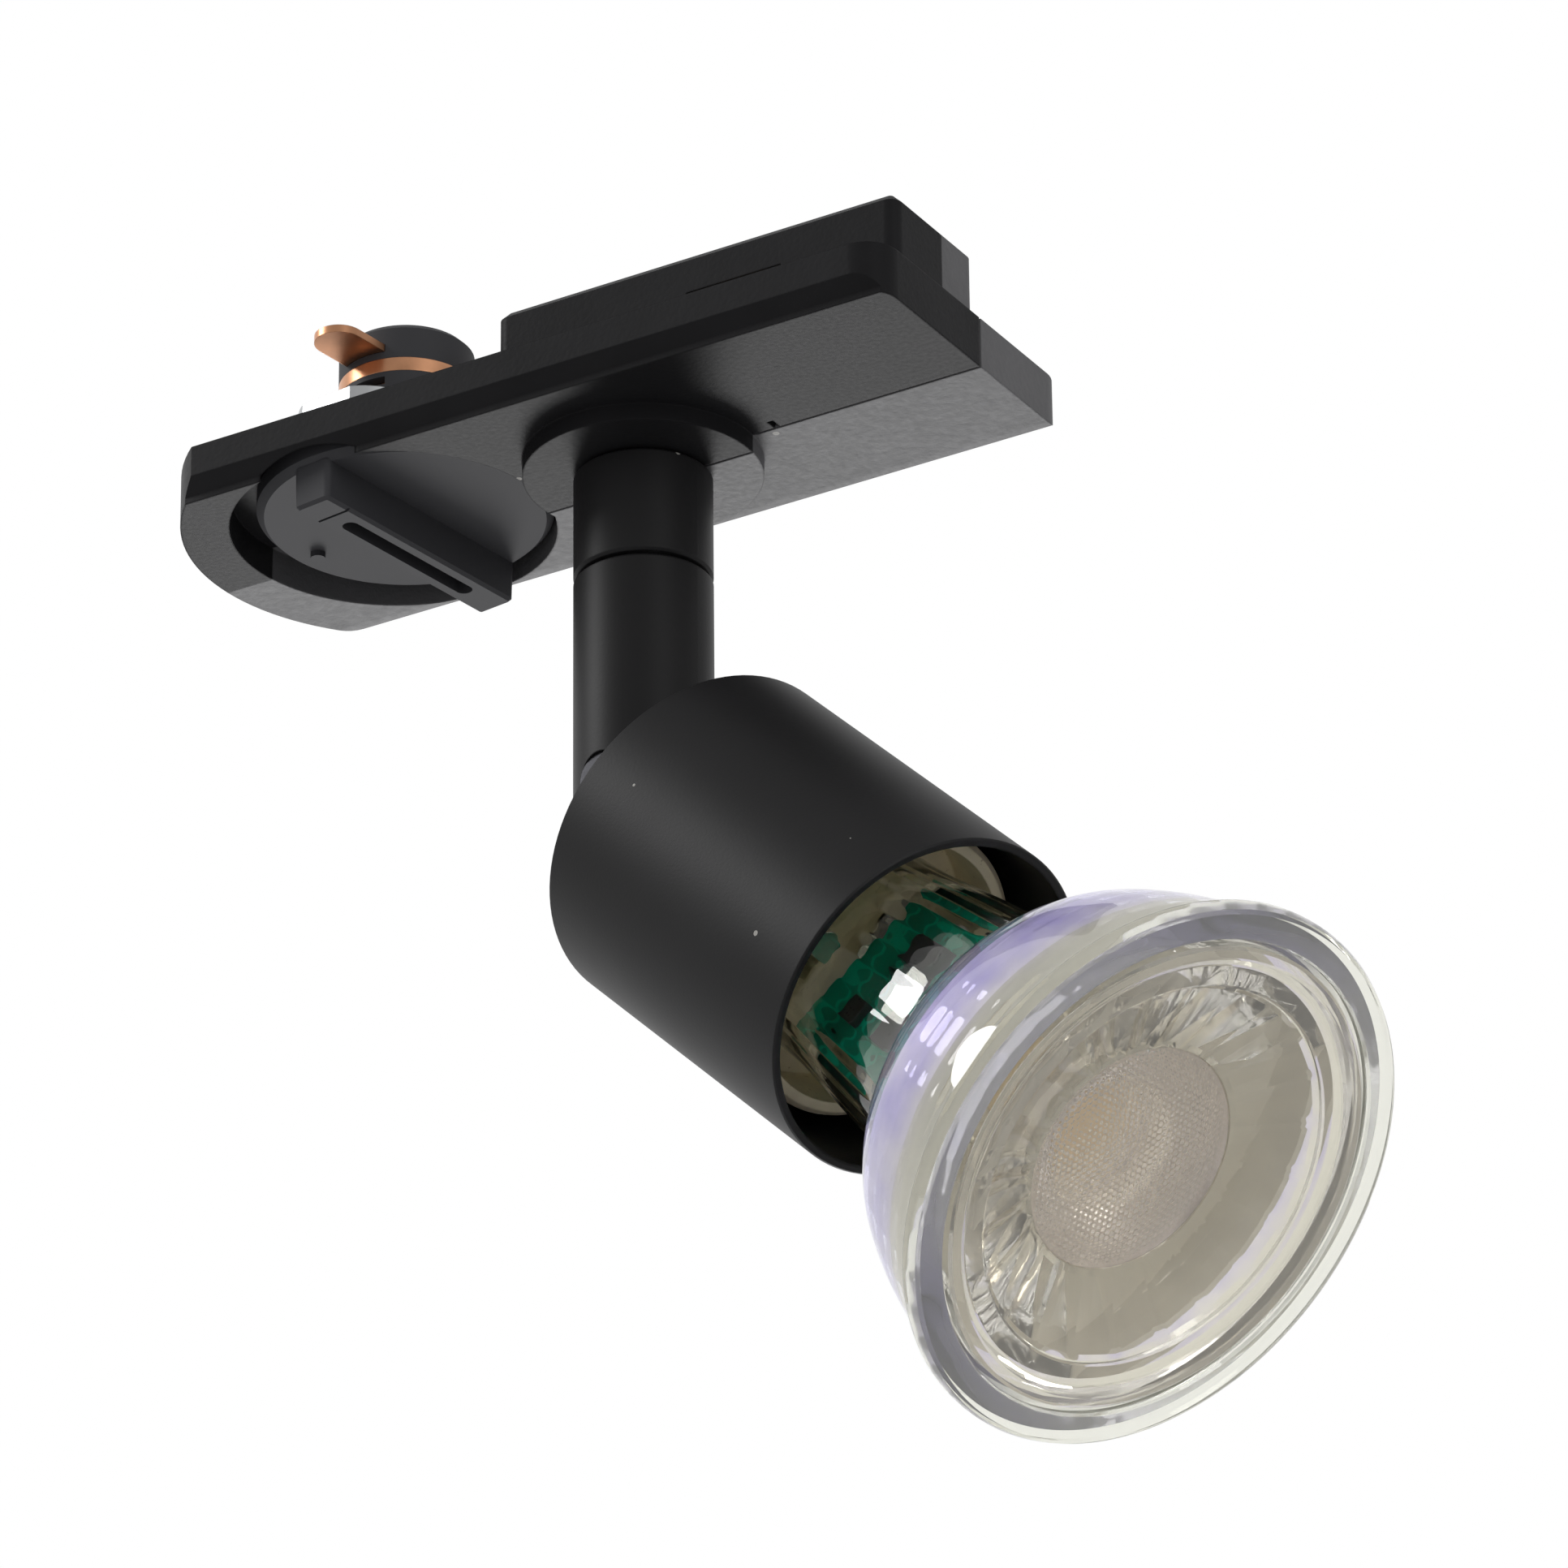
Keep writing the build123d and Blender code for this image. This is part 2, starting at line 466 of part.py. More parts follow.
inner += [(r - GLASS_T, z - 0.2) for r, z in reversed(NECK[1:])]
inner += [(9.0, SEAT_Z + 2.4), (0, SEAT_Z + 2.4), (0, SEAT_Z + 0.15)]
glass = lathe(outer + inner)
for half_turn in PIN_TURNS:
    glass -= Rot(0, 0, half_turn) * cyl(PIN_NECK, SEAT_Z - 1, SEAT_Z + 4, PIN_PITCH / 2)
write("lamp_glass", head_frame * glass)

pin = cyl(PIN_NECK - 0.01, SEAT_Z - 4.5, SEAT_Z + 4.2, PIN_PITCH / 2)
pin += cyl(PIN_HEAD, SEAT_Z - 6.6, SEAT_Z - 2.9, PIN_PITCH / 2)
write("lamp_pins", [head_frame * Rot(0, 0, t) * pin for t in PIN_TURNS])

OPTIC_R = 21.4
optic = lathe([(10.3, RIM_Z - 4.1), (17.4, RIM_Z - 1.1), (18.2, RIM_Z - 0.7), (19.6, RIM_Z - 0.7),
               (20.4, RIM_Z - 0.1), (OPTIC_R, RIM_Z - 0.3), (OPTIC_R, LEDGE_Z + 0.05), (19.2, LEDGE_Z + 0.05),
               (17.2, RIM_Z - 4.6), (10.3, RIM_Z - 13.0)])
write("lamp_optic", head_frame * optic)
CORE_R = 10.25
core = lathe([(0, RIM_Z - 3.9), (CORE_R, RIM_Z - 4.2), (CORE_R, RIM_Z - 13.0), (6.6, RIM_Z - 13.0),
              (6.2, RIM_Z - 8.4), (0, RIM_Z - 7.4)])
write("centre_lens", head_frame * core)

# dished aluminium heat plate that follows the inside of the bowl
PLATE_Z = RIM_Z - 14.3
PLATE_T = 1.2
plate = lathe([(0, PLATE_Z), (18.45, PLATE_Z), (19.75, PLATE_Z + 4.1), (20.25, PLATE_Z + 6.6),
               (19.65, PLATE_Z + 6.6), (19.15, PLATE_Z + 4.2), (18.1, PLATE_Z + PLATE_T), (0, PLATE_Z + PLATE_T)])
for x in (-8.6, 8.6):
    plate -= cyl(0.9, PLATE_Z - 1, PLATE_Z + 3, x, 0)
write("heat_plate", head_frame * plate)
led_base = Pos(0, 0, PLATE_Z + 1.5) * Box(9.0, 9.0, 0.55)
write("led_base", head_frame * led_base)
write("led_emitter", head_frame * cyl(3.6, PLATE_Z + 1.8, PLATE_Z + 2.3))

# driver board, turned about the lamp's axis from the line of the pins
BOARD_TURN = 72.0
driver_frame = head_frame * Rot(0, 0, BOARD_TURN)
BOARD_TOP = PLATE_Z - 0.3
board = box(-0.8, 0.0, -8.3, 8.3, 35.2, 50.0) + box(-0.8, 0.0, -9.6, 9.6, 49.9, BOARD_TOP - 0.2)
write("driver_board", driver_frame * board)
write("driver_capacitor", driver_frame * Pos(3.05, 3.4, 44.0) * Cylinder(2.9, 9.5))
coil = Pos(3.2, -3.6, 51.5) * Box(6.2, 6.8, 6.4)
coil = fillet(coil.edges().filter_by(Axis.Z), 0.6)
write("driver_transformer", driver_frame * coil)
write("driver_rectifier", driver_frame * Pos(-1.95, 2.8, 42.5) * Box(2.2, 4.2, 3.6))
chips = []
for y, z, w, h in ((-4.6, 40.0, 2.6, 1.8), (-3.4, 46.0, 3.2, 4.2), (4.6, 50.5, 2.4, 1.6),
                   (1.5, 53.6, 2.2, 1.6), (-5.6, 52.6, 2.0, 1.4), (5.6, 46.8, 1.4, 2.4)):
    chips.append(driver_frame * Pos(-1.4, y, z) * Box(1.0, w, h))
write("driver_chips", chips)
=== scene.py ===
import json
import math

import bmesh
import bpy
from bpy.props import (
    FloatProperty,
    FloatVectorProperty,
    IntProperty,
    PointerProperty,
)
from mathutils import Matrix, Vector


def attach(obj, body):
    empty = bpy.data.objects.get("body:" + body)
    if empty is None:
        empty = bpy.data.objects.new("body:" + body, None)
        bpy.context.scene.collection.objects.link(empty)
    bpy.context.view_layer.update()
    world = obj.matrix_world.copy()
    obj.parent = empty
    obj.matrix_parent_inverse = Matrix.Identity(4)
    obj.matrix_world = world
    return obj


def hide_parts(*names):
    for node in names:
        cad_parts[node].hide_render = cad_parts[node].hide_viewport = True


bl_info = {
    "name": "Track spotlight",
    "version": (1, 0, 0),
    "blender": (4, 5, 0),
    "location": "View3D > Sidebar > Spotlight",
    "description": "Finishes and detail for a small track spotlight with a glass reflector lamp",
    "category": "Object",
}

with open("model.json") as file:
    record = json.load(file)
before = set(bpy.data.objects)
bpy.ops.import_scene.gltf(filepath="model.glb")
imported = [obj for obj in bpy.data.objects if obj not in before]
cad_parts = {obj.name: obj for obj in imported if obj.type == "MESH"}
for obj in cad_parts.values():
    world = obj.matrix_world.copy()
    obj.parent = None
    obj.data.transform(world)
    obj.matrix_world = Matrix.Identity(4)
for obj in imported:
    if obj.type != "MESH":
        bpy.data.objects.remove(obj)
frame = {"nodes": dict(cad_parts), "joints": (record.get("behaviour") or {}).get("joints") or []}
NODES = frame["nodes"]
JOINTS = {j["name"]: j for j in frame["joints"]}
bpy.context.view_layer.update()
MM = 0.001

TILT_JOINT = JOINTS["head_tilt"]
LAMP_AXIS = Vector(JOINTS["lamp_twist"]["axis"]).normalized()
PIVOT = Vector(TILT_JOINT["pos_m"])


def head_matrix():
    """Frame of the head: Z along the lamp's axis, measured from the tilt pivot."""
    z = LAMP_AXIS
    y = -Vector(TILT_JOINT["axis"]).normalized()
    x = y.cross(z).normalized()
    y = z.cross(x)
    m = Matrix((x, y, z)).transposed().to_4x4()
    m.translation = PIVOT
    return m


HEAD = head_matrix()


def head_span(node):
    """Lowest and highest place of a node along the lamp's axis, and its widest radius."""
    inverse = HEAD.inverted()
    points = [inverse @ v.co for v in NODES[node].data.vertices]
    heights = [p.z for p in points]
    return min(heights), max(heights), max(math.hypot(p.x, p.y) for p in points)


GLASS_LOW, GLASS_HIGH, GLASS_R = head_span("lamp_glass")
OPTIC_LOW, OPTIC_HIGH, OPTIC_R = head_span("lamp_optic")
CORE_LOW, CORE_HIGH, CORE_R = head_span("centre_lens")


# ---------------------------------------------------------------- settings
class SpotlightLamp(bpy.types.PropertyGroup):
    """Sizes of the glass lamp."""

    neck_low: FloatProperty(name="Neck radius at base", default=10.2 * MM, unit="LENGTH",
                            description="Outside radius of the glass neck at the pins")
    neck_high: FloatProperty(name="Neck radius at shoulder", default=12.7 * MM, unit="LENGTH",
                             description="Outside radius of the glass neck below the bowl")
    wall: FloatProperty(name="Glass thickness", default=1.1 * MM, unit="LENGTH",
                        description="Wall of the pressed glass")
    flutes: IntProperty(name="Flutes", default=30, min=8, max=80,
                        description="Upright ridges round the neck")
    flute_depth: FloatProperty(name="Flute depth", default=0.09 * MM, unit="LENGTH",
                               description="Depth of the grooves between the ridges")
    facets: IntProperty(name="Bowl facets", default=40, min=8, max=90,
                        description="Upright facets inside the bowl, below the lip")
    ring_facets: IntProperty(name="Lens ring facets", default=22, min=6, max=60,
                             description="Flat facets round the back of the front lens ring")
    lens_pitch: FloatProperty(name="Lens pitch", default=0.62 * MM, unit="LENGTH",
                              description="Distance between the small prisms of the centre lens")
    lens_relief: FloatProperty(name="Lens relief", default=0.22 * MM, unit="LENGTH",
                               description="Height of the small prisms")


class SpotlightColours(bpy.types.PropertyGroup):
    """Base colours of the finishes."""

    coat: FloatVectorProperty(name="Powder coat", subtype="COLOR", size=3,
                              default=(0.0095, 0.0092, 0.0098),
                              description="Matt black of the cup and stem")
    shell: FloatVectorProperty(name="Adaptor plastic", subtype="COLOR", size=3,
                               default=(0.011, 0.0108, 0.0116),
                               description="Moulded black of the adaptor")
    ceramic: FloatVectorProperty(name="Ceramic", subtype="COLOR", size=3, default=(0.86, 0.76, 0.52),
                                 description="Unglazed cream of the lampholder")
    glass: FloatVectorProperty(name="Glass", subtype="COLOR", size=3, default=(0.975, 0.975, 0.90),
                               description="Slightly yellow clear glass")
    collar: FloatVectorProperty(name="Glass collar", subtype="COLOR", size=3, default=(0.86, 0.84, 0.98),
                                description="Lavender cast of the glass below the bowl")
    lens: FloatVectorProperty(name="Lens", subtype="COLOR", size=3, default=(0.985, 0.955, 0.875),
                              description="Clear moulded lens")
    board: FloatVectorProperty(name="Circuit board", subtype="COLOR", size=3, default=(0.0, 0.26, 0.17),
                               description="Green solder mask")


class SpotlightStage(bpy.types.PropertyGroup):
    """Floor, lights and camera."""

    floor: FloatVectorProperty(name="Floor", subtype="COLOR", size=3, default=(0.86, 0.86, 0.86),
                               description="Pale floor colour")
    floor_drop: FloatProperty(name="Floor depth", default=1.4, unit="LENGTH",
                              description="Height of the track above the floor")
    camera_x: FloatProperty(name="Camera X", default=0.4005, unit="LENGTH",
                            description="Camera place along the track")
    camera_y: FloatProperty(name="Camera Y", default=-0.6413, unit="LENGTH",
                            description="Camera place across the track")
    camera_z: FloatProperty(name="Camera Z", default=-0.4151, unit="LENGTH", description="Camera height")
    heading: FloatProperty(name="Heading", default=math.radians(32.42), subtype="ANGLE",
                           description="Camera heading, turned left from +Y")
    pitch: FloatProperty(name="Pitch", default=math.radians(23.52), subtype="ANGLE",
                         description="Camera pitch above the horizon")
    lens: FloatProperty(name="Lens", default=217.2021, min=10, max=500,
                        description="Focal length in millimetres on a 36 mm sensor")
    aim_right: FloatProperty(name="Aim to the right", default=0.021606,
                             description="How far right of the heading the camera is aimed, as a slope")
    aim_up: FloatProperty(name="Aim upwards", default=0.052387,
                          description="How far above the pitch the camera is aimed, as a slope")
    key: FloatProperty(name="Key light", default=7.0, min=0, description="Power of the key light in watts")
    fill: FloatProperty(name="Fill light", default=3.5, min=0,
                        description="Power of the fill light in watts")
    low: FloatProperty(name="Low light", default=13.0, min=0,
                       description="Power of the low light behind, in watts")
    surround: FloatProperty(name="Surround", default=0.55, min=0,
                            description="Brightness of the studio around the object")
    backdrop: FloatProperty(name="Backdrop", default=0.95, min=0,
                            description="Brightness of the pale backdrop")


# ---------------------------------------------------------------- shader helpers
def new_material(name):
    """Empty node material with a surface shader and object coordinates in metres."""
    m = bpy.data.materials.get(name)
    if m:
        return m, None, None, None
    m = bpy.data.materials.new(name)
    m.use_nodes = True
    tree = m.node_tree
    tree.nodes.clear()
    out = tree.nodes.new("ShaderNodeOutputMaterial")
    shader = tree.nodes.new("ShaderNodeBsdfPrincipled")
    tree.links.new(shader.outputs["BSDF"], out.inputs["Surface"])
    place = tree.nodes.new("ShaderNodeTexCoord")
    return m, tree, shader, place


def noise(tree, place, scale, detail=3.0, stretch=None):
    """Noise in object space. Scale is in features per metre."""
    n = tree.nodes.new("ShaderNodeTexNoise")
    n.inputs["Scale"].default_value = scale
    n.inputs["Detail"].default_value = detail
    source = place.outputs["Object"]
    if stretch:
        mapping = tree.nodes.new("ShaderNodeMapping")
        mapping.inputs["Scale"].default_value = stretch
        tree.links.new(source, mapping.inputs["Vector"])
        source = mapping.outputs["Vector"]
    tree.links.new(source, n.inputs["Vector"])
    return n.outputs["Fac"]


def ramp(tree, fac, low, high, start=0.35, end=0.65):
    """Two-stop colour ramp."""
    r = tree.nodes.new("ShaderNodeValToRGB")
    r.color_ramp.elements[0].position = start
    r.color_ramp.elements[1].position = end
    r.color_ramp.elements[0].color = (*low[:3], 1)
    r.color_ramp.elements[1].color = (*high[:3], 1)
    tree.links.new(fac, r.inputs["Fac"])
    return r.outputs["Color"]


def vary(tree, fac, low, high):
    """Map a 0-1 factor to a range."""
    m = tree.nodes.new("ShaderNodeMapRange")
    m.inputs["To Min"].default_value = low
    m.inputs["To Max"].default_value = high
    tree.links.new(fac, m.inputs["Value"])
    return m.outputs["Result"]


def relief(tree, shader, heights, edge=0.0):
    """Stack bump layers given as (height, strength, distance), over rounded edges."""
    normal = None
    if edge:
        bevel = tree.nodes.new("ShaderNodeBevel")
        bevel.samples = 4
        bevel.inputs["Radius"].default_value = edge
        normal = bevel.outputs["Normal"]
    for height, strength, distance in heights:
        b = tree.nodes.new("ShaderNodeBump")
        b.inputs["Strength"].default_value = strength
        b.inputs["Distance"].default_value = distance
        tree.links.new(height, b.inputs["Height"])
        if normal:
            tree.links.new(normal, b.inputs["Normal"])
        normal = b.outputs["Normal"]
    tree.links.new(normal, shader.inputs["Normal"])


def specks(tree, place, colour_out, density=110.0, size=0.035):
    """Mix a few tiny pale dust specks into a colour. Density is in cells per metre."""
    cells = tree.nodes.new("ShaderNodeTexVoronoi")
    cells.inputs["Scale"].default_value = density
    tree.links.new(place.outputs["Object"], cells.inputs["Vector"])
    near = tree.nodes.new("ShaderNodeMath")
    near.operation = "LESS_THAN"
    near.inputs[1].default_value = size
    tree.links.new(cells.outputs["Distance"], near.inputs[0])
    mix = tree.nodes.new("ShaderNodeMix")
    mix.data_type = "RGBA"
    mix.inputs["B"].default_value = (0.32, 0.31, 0.29, 1)
    tree.links.new(near.outputs["Value"], mix.inputs["Factor"])
    tree.links.new(colour_out, mix.inputs["A"])
    return mix.outputs["Result"]


def along(tree, place, axis, low, high):
    """Factor that runs from 0 to 1 between two distances along an axis from the tilt pivot."""
    dot = tree.nodes.new("ShaderNodeVectorMath")
    dot.operation = "DOT_PRODUCT"
    dot.inputs[1].default_value = tuple(axis)
    tree.links.new(place.outputs["Object"], dot.inputs[0])
    m = tree.nodes.new("ShaderNodeMapRange")
    start = PIVOT.dot(Vector(axis))
    m.inputs["From Min"].default_value = start + low
    m.inputs["From Max"].default_value = start + high
    tree.links.new(dot.outputs["Value"], m.inputs["Value"])
    return m.outputs["Result"]


def bands(tree, fac, stops):
    """Colour ramp with several stops given as (place, colour)."""
    r = tree.nodes.new("ShaderNodeValToRGB")
    ramp_stops = r.color_ramp.elements
    while len(ramp_stops) < len(stops):
        ramp_stops.new(0.5)
    for stop, (place, colour) in zip(ramp_stops, stops):
        stop.position = place
        stop.color = (*colour, 1)
    tree.links.new(fac, r.inputs["Fac"])
    return r.outputs["Color"]


def shade(colour, k):
    """Colour made lighter or darker."""
    return tuple(min(1.0, c * k) for c in colour[:3])


def moulded_plastic(name, colour, roughness, grain, strength, gloss=0.5, dust=False):
    """Injection-moulded plastic with a fine spark-eroded grain."""
    m, tree, shader, place = new_material(name)
    if tree is None:
        return m
    cloud = noise(tree, place, 90.0, 4.0)
    base = ramp(tree, cloud, shade(colour, 0.88), shade(colour, 1.15))
    if dust:
        base = specks(tree, place, base)
    tree.links.new(base, shader.inputs["Base Color"])
    shader.inputs["Specular IOR Level"].default_value = gloss
    fine = noise(tree, place, grain, 2.0)
    tree.links.new(vary(tree, fine, roughness - 0.05, roughness + 0.07), shader.inputs["Roughness"])
    waves = noise(tree, place, 240.0)
    relief(tree, shader, [(fine, strength, 0.05 * MM), (waves, 0.12, 0.08 * MM)], 0.25 * MM)
    shader.inputs["IOR"].default_value = 1.5
    return m


def powder_coat(name, colour):
    """Matt powder coat on metal: soft sheen and very fine orange peel."""
    m, tree, shader, place = new_material(name)
    if tree is None:
        return m
    cloud = noise(tree, place, 60.0, 5.0)
    base = ramp(tree, cloud, shade(colour, 0.9), shade(colour, 1.12))
    tree.links.new(specks(tree, place, base, 120.0, 0.03), shader.inputs["Base Color"])
    shader.inputs["Specular IOR Level"].default_value = 0.2
    fine = noise(tree, place, 3600.0, 2.0)
    tree.links.new(vary(tree, cloud, 0.42, 0.52), shader.inputs["Roughness"])
    relief(tree, shader, [(fine, 0.22, 0.03 * MM), (noise(tree, place, 700.0), 0.06, 0.05 * MM)], 0.18 * MM)
    shader.inputs["IOR"].default_value = 1.48
    return m


def bare_metal(name, colour, roughness, scale=(60.0, 60.0, 1400.0), tarnish=0.75, metallic=1.0):
    """Bare or plated metal with drawn lines and slight tarnish."""
    m, tree, shader, place = new_material(name)
    if tree is None:
        return m
    lines = noise(tree, place, 1.0, 4.0, scale)
    cloud = noise(tree, place, 160.0, 5.0)
    tree.links.new(ramp(tree, cloud, shade(colour, tarnish), colour[:3]), shader.inputs["Base Color"])
    tree.links.new(vary(tree, cloud, roughness + 0.1, roughness - 0.05), shader.inputs["Roughness"])
    shader.inputs["Metallic"].default_value = metallic
    relief(tree, shader, [(lines, 0.25, 0.03 * MM)], 0.12 * MM)
    return m


def silicone_sleeve(name, colour):
    """Soft sleeve of a lead, faintly ribbed along its length."""
    m, tree, shader, place = new_material(name)
    if tree is None:
        return m
    cloud = noise(tree, place, 300.0, 3.0)
    tree.links.new(ramp(tree, cloud, shade(colour, 0.8), shade(colour, 1.2)), shader.inputs["Base Color"])
    tree.links.new(vary(tree, cloud, 0.35, 0.55), shader.inputs["Roughness"])
    relief(tree, shader, [(noise(tree, place, 1500.0), 0.2, 0.04 * MM)])
    shader.inputs["Subsurface Weight"].default_value = 0.05
    return m


def ceramic_body(name, colour):
    """Unglazed pressed ceramic, slightly gritty, with small darker specks."""
    m, tree, shader, place = new_material(name)
    if tree is None:
        return m
    grit = noise(tree, place, 1800.0, 3.0)
    cloud = noise(tree, place, 140.0, 4.0)
    body = ramp(tree, cloud, shade(colour, 0.9), shade(colour, 1.08))
    pits = ramp(tree, grit, (0.42, 0.33, 0.2), (1, 1, 1), 0.26, 0.34)
    mix = tree.nodes.new("ShaderNodeMix")
    mix.data_type = "RGBA"
    mix.blend_type = "MULTIPLY"
    mix.inputs["Factor"].default_value = 0.6
    tree.links.new(body, mix.inputs["A"])
    tree.links.new(pits, mix.inputs["B"])
    tree.links.new(mix.outputs["Result"], shader.inputs["Base Color"])
    tree.links.new(vary(tree, grit, 0.5, 0.75), shader.inputs["Roughness"])
    relief(tree, shader, [(grit, 0.4, 0.06 * MM)], 0.25 * MM)
    return m


def clear_glass(name, stops, roughness=0.0, ripple=0.05, patches=None):
    """Clear pressed glass or lens plastic, with a faint ripple.
    stops are (distance along the lamp's axis, colour, share that is clear and not milky).
    patches is the colour of soft patches on the part whose colour isn't the tint of the rest."""
    m, tree, shader, place = new_material(name)
    if tree is None:
        return m
    wave = noise(tree, place, 120.0, 3.0)
    low, high = stops[0][0], stops[-1][0] + 0.01 * MM
    span = along(tree, place, LAMP_AXIS, low, high)
    base = bands(tree, span, [((d - low) / (high - low), colour) for d, colour, share in stops])
    if patches:
        first = stops[0][1]
        where = bands(tree, span, [((d - low) / (high - low), (0.0 if colour == first else 1.0,) * 3)
                                   for d, colour, _ in stops])
        spots = ramp(tree, noise(tree, place, 230.0, 2.0), (0, 0, 0), (1, 1, 1), 0.36, 0.72)
        both = tree.nodes.new("ShaderNodeMath")
        both.operation = "MULTIPLY"
        tree.links.new(where, both.inputs[0])
        tree.links.new(spots, both.inputs[1])
        mix = tree.nodes.new("ShaderNodeMix")
        mix.data_type = "RGBA"
        mix.inputs["B"].default_value = (*patches, 1)
        tree.links.new(both.outputs["Value"], mix.inputs["Factor"])
        tree.links.new(base, mix.inputs["A"])
        base = mix.outputs["Result"]
    tree.links.new(base, shader.inputs["Base Color"])
    clear = bands(tree, span, [((d - low) / (high - low), (share,) * 3) for d, colour, share in stops])
    tree.links.new(clear, shader.inputs["Transmission Weight"])
    shader.inputs["IOR"].default_value = 1.5
    tree.links.new(vary(tree, wave, roughness, roughness + 0.03), shader.inputs["Roughness"])
    relief(tree, shader, [(wave, ripple, 0.3 * MM)])
    return m


def circuit_board(name, colour):
    """Green solder mask over copper tracks."""
    m, tree, shader, place = new_material(name)
    if tree is None:
        return m
    tracks = tree.nodes.new("ShaderNodeTexBrick")
    tracks.inputs["Scale"].default_value = 260.0
    tracks.inputs["Color1"].default_value = (*shade(colour, 0.8), 1)
    tracks.inputs["Color2"].default_value = (*shade(colour, 1.1), 1)
    tracks.inputs["Mortar"].default_value = (*shade(colour, 1.7), 1)
    tracks.inputs["Mortar Size"].default_value = 0.035
    tree.links.new(place.outputs["Object"], tracks.inputs["Vector"])
    tree.links.new(tracks.outputs["Color"], shader.inputs["Base Color"])
    cloud = noise(tree, place, 500.0)
    tree.links.new(vary(tree, cloud, 0.2, 0.4), shader.inputs["Roughness"])
    relief(tree, shader, [(tracks.outputs["Fac"], 0.4, 0.03 * MM), (cloud, 0.1, 0.04 * MM)])
    return m


def finish_nodes(names, material):
    """Give CAD pieces a finish."""
    for n in names:
        slots = NODES[n].data.materials
        slots.clear()
        slots.append(material)


def smooth(obj, angle=32.0):
    """Smooth shading with sharp edges kept."""
    for p in obj.data.polygons:
        p.use_smooth = True
    obj.data.set_sharp_from_angle(angle=math.radians(angle))


# ---------------------------------------------------------------- mesh helpers
def turned_piece(name, loop, turns, shift, closed=True):
    """Piece turned about the lamp's axis from a loop of (radius, height) corners.
    shift(i, radius, height, angle) gives the place of each corner."""
    verts, faces, rings = [], [], []
    for i, (r, z) in enumerate(loop):
        if r < 1e-7:
            rings.append([len(verts)])
            verts.append((0, 0, z))
            continue
        ring = []
        for k in range(turns):
            a = math.tau * k / turns
            rr, zz = shift(i, r, z, a)
            ring.append(len(verts))
            verts.append((rr * math.cos(a), rr * math.sin(a), zz))
        rings.append(ring)
    pairs = list(zip(rings[:-1], rings[1:]))
    if closed:
        pairs.append((rings[-1], rings[0]))
    for a, b in pairs:
        if len(a) == 1 and len(b) == 1:
            continue
        for k in range(turns):
            n = (k + 1) % turns
            if len(a) == 1:
                faces.append((a[0], b[k], b[n]))
            elif len(b) == 1:
                faces.append((a[k], b[0], a[n]))
            else:
                faces.append((a[k], b[k], b[n], a[n]))
    return make_piece(name, verts, faces)


def make_piece(name, verts, faces):
    """Mesh object in the head's frame, with its normals outwards."""
    mesh = bpy.data.meshes.new(name)
    mesh.from_pydata([tuple(v) for v in verts], [], faces)
    mesh.transform(HEAD)
    mesh.update()
    obj = bpy.data.objects.new(name, mesh)
    bpy.context.scene.collection.objects.link(obj)
    bm = bmesh.new()
    bm.from_mesh(mesh)
    bmesh.ops.recalc_face_normals(bm, faces=bm.faces)
    bm.to_mesh(mesh)
    bm.free()
    return obj


def curve_through(corners, steps):
    """Smooth run of points through the corners."""
    out = []
    n = len(corners)
    for i in range(n - 1):
        p0 = corners[max(i - 1, 0)]
        p1, p2 = corners[i], corners[i + 1]
        p3 = corners[min(i + 2, n - 1)]
        for s in range(steps):
            t = s / steps
            out.append(tuple(
                0.5 * (2 * b + (c - a) * t + (2 * a - 5 * b + 4 * c - d) * t * t
                       + (3 * b - a - 3 * c + d) * t ** 3)
                for a, b, c, d in zip(p0, p1, p2, p3)))
    out.append(tuple(corners[-1]))
    return out


def flat_side(angle, sides):
    """Radius factor that turns a circle into a polygon with flat sides."""
    half = math.pi / sides
    return math.cos(half) / math.cos(angle % (2 * half) - half) / math.cos(half)


# ---------------------------------------------------------------- operators
class SPOTLIGHT_OT_shells(bpy.types.Operator):
    """Finish the adaptor shells and the locking lever"""

    bl_idname = "spotlight.shells"
    bl_label = "Adaptor and lever plastic"

    def execute(self, context):
        c = context.scene.spotlight_colours
        near = moulded_plastic("adaptor_plastic", shade(c.shell, 1.2), 0.42, 2200.0, 0.3, gloss=0.06,
                               dust=True)
        # The far shell is the same black plastic as the near shell, painted five times lighter and given
        # full gloss: a painted reflection standing in for the brighter light on the far half, not a
        # different plastic.
        far = moulded_plastic("adaptor_plastic_painted_reflection", shade(c.shell, 5.0), 0.6, 1500.0, 1.0, gloss=1.0,
                              dust=True)
        lever = moulded_plastic("lever_plastic", shade(c.shell, 1.4), 0.42, 3400.0, 0.25, gloss=0.45)
        finish_nodes(["adaptor_near_shell"], near)
        finish_nodes(["adaptor_far_shell"], far)
        finish_nodes(["locking_lever", "lever_turret"], lever)
        nylon = moulded_plastic("natural_nylon", (0.80, 0.77, 0.70), 0.5, 1800.0, 0.2)
        finish_nodes(["terminal_block", "friction_washers"], nylon)
        return {"FINISHED"}


class SPOTLIGHT_OT_coated_metal(bpy.types.Operator):
    """Finish the powder-coated collar, stem, hinge and cup"""

    bl_idname = "spotlight.coated_metal"
    bl_label = "Powder-coated metal"

    def execute(self, context):
        coat = powder_coat("black_powder_coat", context.scene.spotlight_colours.coat)
        finish_nodes(["swivel_collar", "stem_tube", "hinge_knuckle", "lamp_cup"], coat)
        return {"FINISHED"}


